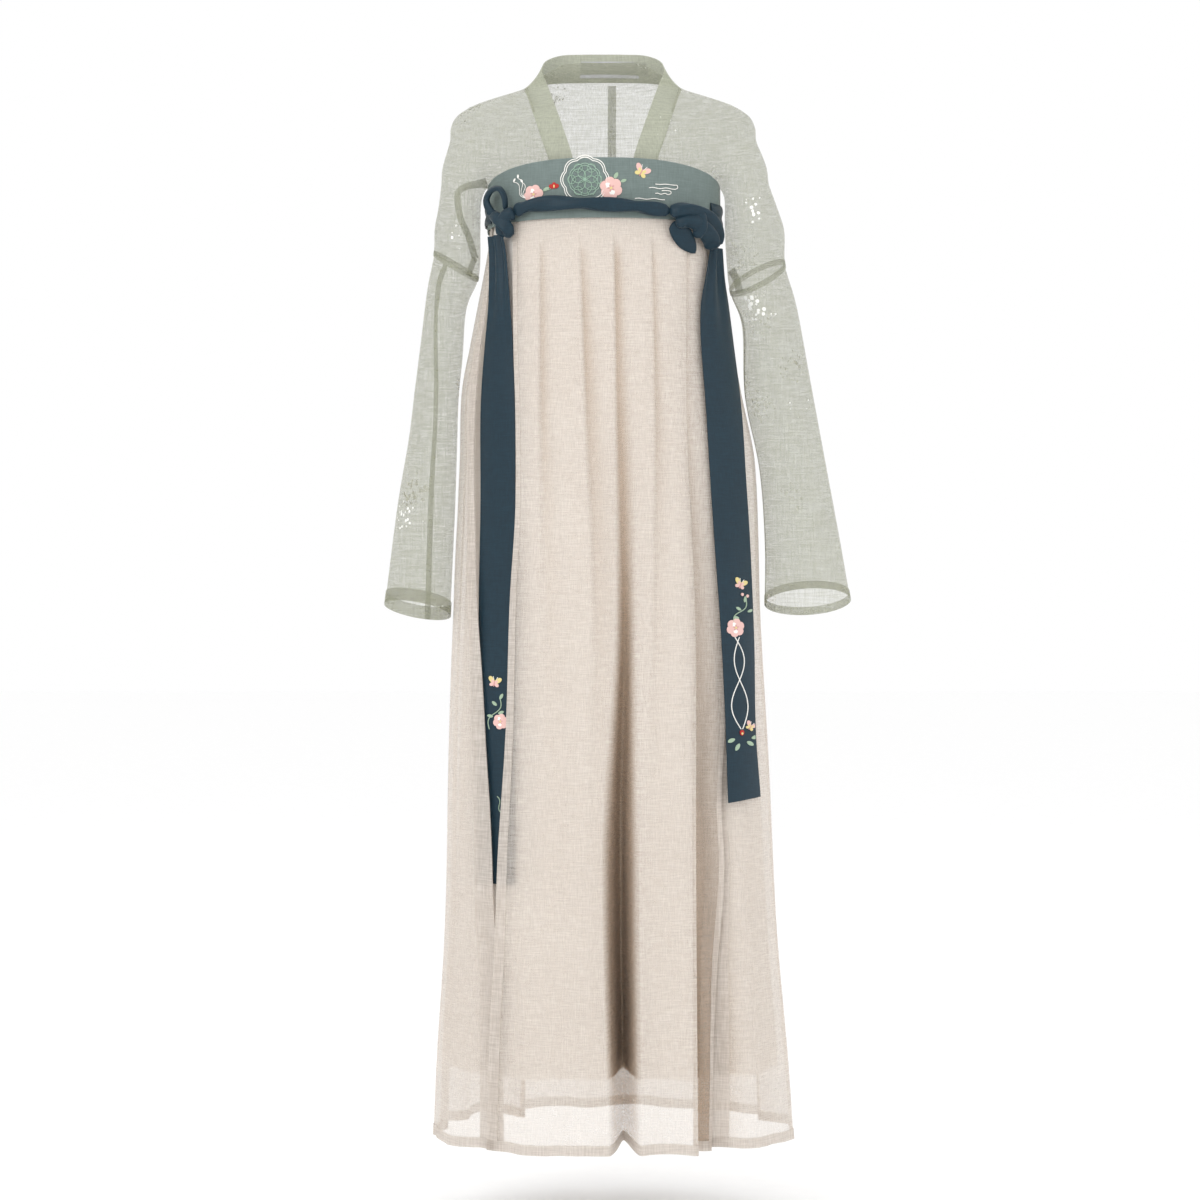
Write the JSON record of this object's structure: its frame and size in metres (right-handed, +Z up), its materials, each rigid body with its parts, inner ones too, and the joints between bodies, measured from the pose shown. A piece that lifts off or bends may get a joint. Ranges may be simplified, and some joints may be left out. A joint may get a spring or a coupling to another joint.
{
  "type": "ruqun set of a sheer blouse and a chest-high pleated skirt",
  "caption": "Hollow worn-form hanfu set: sheer open-front blouse with long straight sleeves under a chest-high pleated skirt with band, twisted ties, knots and hanging tails.",
  "frame": {"origin": "centre of the neck base, midway between the shoulder tops, where the wearer holds the set up", "axes": "+Z up, -Y is the front of the garment, +X is the wearer's left"},
  "size_m": [0.606, 0.3383, 1.4141],
  "materials": {
    "sheer_sage_cloth": "sheer woven sage cloth with scattered white foil twigs and blossom",
    "collar_cloth": "doubled sage cloth, pressed flat",
    "label_satin": "bare woven satin label",
    "sheer_cream_cloth": "sheer cream crepe, soft and slightly slubby",
    "cream_lining": "opaque matt cream lining",
    "teal_band": "muted teal interlined cloth, embroidered in front",
    "dark_teal_tie": "dark teal satin-backed crepe ties, embroidered near the ends"
  },
  "bodies": {
    "root": {"blouse_body_left": "sheer_sage_cloth", "blouse_body_right": "sheer_sage_cloth", "sleeve_left": "sheer_sage_cloth", "sleeve_right": "sheer_sage_cloth", "collar_band": "collar_cloth", "neck_label": "label_satin", "size_tab": "label_satin", "skirt_front_outer": "sheer_cream_cloth", "skirt_back_outer": "sheer_cream_cloth", "lining_front": "cream_lining", "lining_back": "cream_lining", "band_front": "teal_band", "band_back": "teal_band", "tie_wrap_back": "dark_teal_tie", "tie_twist_front": "dark_teal_tie", "knot_left": "dark_teal_tie", "knot_right": "dark_teal_tie", "tie_loop_left": "dark_teal_tie", "tie_short_end_right": "dark_teal_tie", "tie_tail_left": "dark_teal_tie", "tie_tail_right": "dark_teal_tie"}
  },
  "joints": []
}
